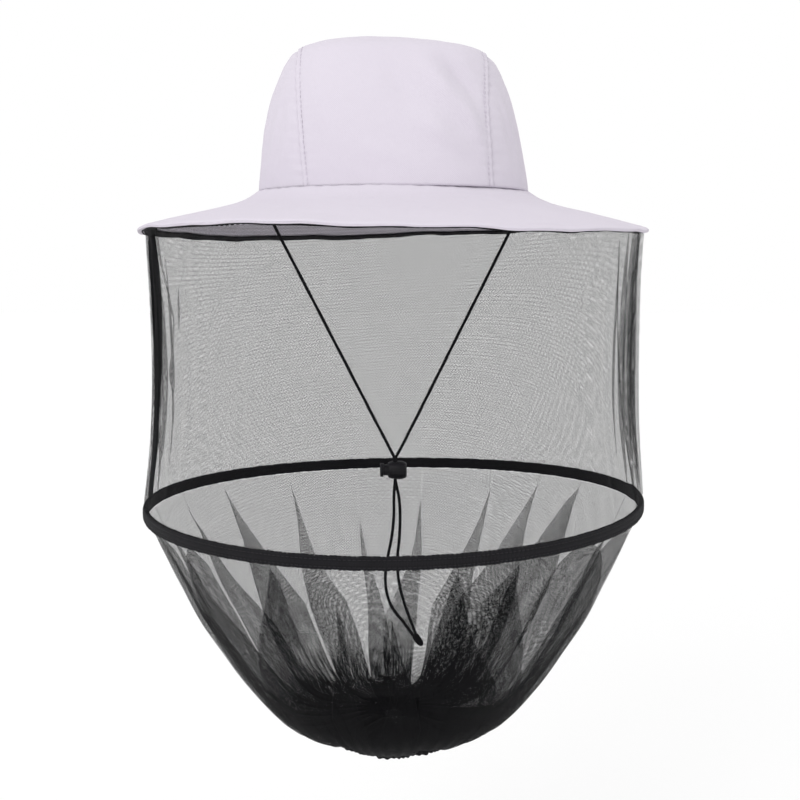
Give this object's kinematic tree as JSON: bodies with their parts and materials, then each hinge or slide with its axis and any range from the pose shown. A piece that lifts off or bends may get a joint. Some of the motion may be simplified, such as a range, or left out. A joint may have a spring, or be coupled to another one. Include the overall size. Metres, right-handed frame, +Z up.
{
  "type": "beekeeping veil",
  "caption": "Bucket hat with a stiff brim, a black net tube on a sprung hoop, a gathered net skirt with an elastic neck, and a chin cord with a push-button lock.",
  "frame": {"origin": "middle of the head opening, in the plane of the seam between crown and brim", "axes": "+Z up through the crown, -Y out of the front of the hat, +X to the right of someone who looks at the front"},
  "size_m": [0.3516, 0.3516, 0.4944],
  "materials": {
    "hat_fabric": "matte",
    "lining_tape": "matte",
    "interlining": "matte",
    "black_tape": "matte",
    "net": "matte",
    "cord": "matte",
    "lock_plastic": "satin",
    "spring_steel": "satin",
    "elastic": "matte"
  },
  "bodies": {
    "hat": {"crown_center_panel": "hat_fabric", "crown_left_panel": "hat_fabric", "crown_right_panel": "hat_fabric", "crown_seam_tape_left": "lining_tape", "crown_seam_tape_right": "lining_tape", "brim_top_panel": "hat_fabric", "brim_interlining": "interlining", "brim_bottom_panel": "hat_fabric", "veil_top_binding": "black_tape", "veil_upper_mesh": "net", "veil_side_seam": "black_tape", "cord_anchor_left": "black_tape", "cord_anchor_right": "black_tape", "sweatband": "lining_tape"},
    "hoop": {"hoop_casing": "black_tape", "hoop_band": "spring_steel", "hoop_ferrule": "spring_steel", "skirt_mesh": "net"},
    "neck": {"neck_hem": "black_tape", "neck_elastic": "elastic"},
    "chin_cord": {"chin_cord_left": "cord", "chin_cord_right": "cord", "cord_end_sleeve": "cord"},
    "cord_lock": {"cord_lock_barrel": "lock_plastic", "cord_lock_spring": "spring_steel"},
    "lock_button": {"cord_lock_plunger": "lock_plastic"}
  },
  "joints": [
    {"name": "hoop_lift", "type": "slide", "parent": "hat", "child": "hoop", "axis": [0, 0, 1], "range_m": [0, 0.12], "deforming": ["veil_upper_mesh", "veil_side_seam"]},
    {"name": "neck_lift", "type": "slide", "parent": "hoop", "child": "neck", "axis": [0, 0, 1], "range_m": [0, 0.12], "deforming": ["skirt_mesh"]},
    {"name": "chin_cord_swing", "type": "hinge", "parent": "hat", "child": "chin_cord", "pos_m": [0, 0, -0.009], "axis": [1, 0, 0], "range_deg": [-20, 5]},
    {"name": "cord_lock_slide", "type": "slide", "parent": "chin_cord", "child": "cord_lock", "axis": [0, 0, -1], "range_m": [0, 0.03], "deforming": ["chin_cord_left", "chin_cord_right"]},
    {"name": "cord_lock_press", "type": "slide", "parent": "cord_lock", "child": "lock_button", "axis": [1, 0, 0], "range_m": [0, 0.002], "stiffness_N_per_m": 800, "springref_m": -0.003, "deforming": ["cord_lock_spring"]}
  ]
}
